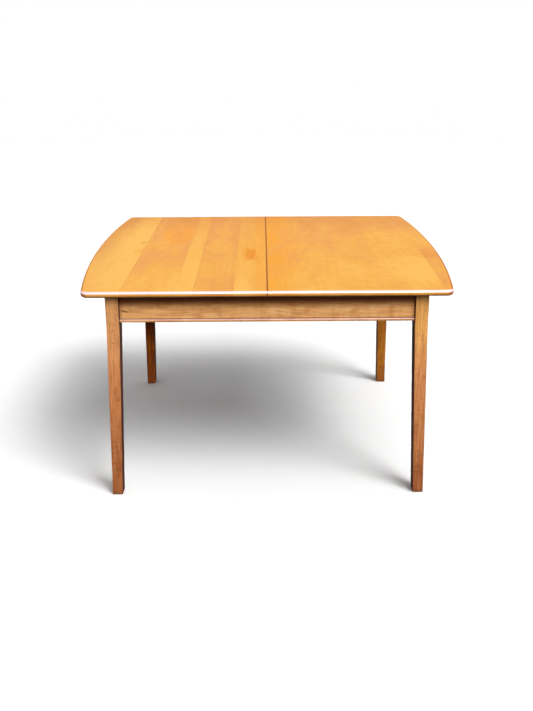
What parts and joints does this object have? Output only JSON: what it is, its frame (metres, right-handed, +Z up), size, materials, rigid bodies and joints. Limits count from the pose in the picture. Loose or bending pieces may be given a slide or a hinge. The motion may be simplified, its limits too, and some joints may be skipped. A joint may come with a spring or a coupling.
{
  "type": "butterfly leaf table",
  "caption": "Rectangular wooden dining table with bowed ends and tapered legs; the split top slides apart over a folding leaf kept in the frame.",
  "frame": {"origin": "on the floor, under the middle of the closed table", "axes": "+X along the length of the table, across the seam of the top; +Y from front to back; +Z up"},
  "size_m": [1.2348, 0.905, 0.745],
  "materials": {
    "top_wood": "satin lacquer over golden stained boards",
    "frame_wood": "satin lacquer over honey stained wood",
    "inner_wood": "bare sanded wood",
    "brass": "satin",
    "steel": "zinc plated"
  },
  "bodies": {
    "frame": {"apron_back": "frame_wood", "apron_front": "frame_wood", "apron_left": "frame_wood", "apron_right": "frame_wood", "bead_back": "frame_wood", "bead_front": "frame_wood", "bead_left": "frame_wood", "bead_right": "frame_wood", "corner_block_back_left": "inner_wood", "corner_block_back_right": "inner_wood", "corner_block_front_left": "inner_wood", "corner_block_front_right": "inner_wood", "cross_bearer_left": "inner_wood", "cross_bearer_right": "inner_wood", "guide_rail_back": "inner_wood", "guide_rail_front": "inner_wood", "guide_rail_screws": "steel", "leg_back_left": "frame_wood", "leg_back_right": "frame_wood", "leg_bolt_nuts": "steel", "leg_bolts": "steel", "leg_front_left": "frame_wood", "leg_front_right": "frame_wood", "pivot_bracket_left": "steel", "pivot_bracket_right": "steel", "pivot_bracket_screws": "steel"},
    "top_left": {"alignment_dowels": "inner_wood", "runner_back_left": "inner_wood", "runner_front_left": "inner_wood", "runner_screws_left": "steel", "slide_stop_back_left": "inner_wood", "slide_stop_front_left": "inner_wood", "slide_stop_screws_left": "steel", "top_left": "top_wood"},
    "top_right": {"runner_back_right": "inner_wood", "runner_front_right": "inner_wood", "runner_screws_right": "steel", "slide_stop_back_right": "inner_wood", "slide_stop_front_right": "inner_wood", "slide_stop_screws_right": "steel", "top_right": "top_wood"},
    "leaf_front": {"leaf_catch": "brass", "leaf_cleat": "inner_wood", "leaf_dowels_front": "inner_wood", "leaf_fixing_screws": "steel", "leaf_hinge_pins": "brass", "leaf_hinge_plates_front": "brass", "leaf_screws_front": "brass", "leaf_wing_front": "top_wood", "pivot_block_left": "inner_wood", "pivot_block_right": "inner_wood", "pivot_pins": "steel"},
    "leaf_back": {"leaf_catch_strike": "brass", "leaf_dowels_back": "inner_wood", "leaf_hinge_plates_back": "brass", "leaf_screws_back": "brass", "leaf_wing_back": "top_wood"}
  },
  "joints": [
    {"name": "top_left_slide", "type": "slide", "parent": "frame", "child": "top_left", "axis": [-1, 0, 0], "range_m": [0, 0.24]},
    {"name": "top_right_slide", "type": "slide", "parent": "frame", "child": "top_right", "axis": [1, 0, 0], "range_m": [0, 0.24]},
    {"name": "leaf_pivot", "type": "hinge", "parent": "frame", "child": "leaf_front", "pos_m": [0, -0.11313, 0.703], "axis": [1, 0, 0], "range_deg": [0, 5]},
    {"name": "leaf_fold", "type": "hinge", "parent": "leaf_front", "child": "leaf_back", "pos_m": [0, -0.22625, 0.661], "axis": [-1, 0, 0], "range_deg": [0, 145]}
  ]
}
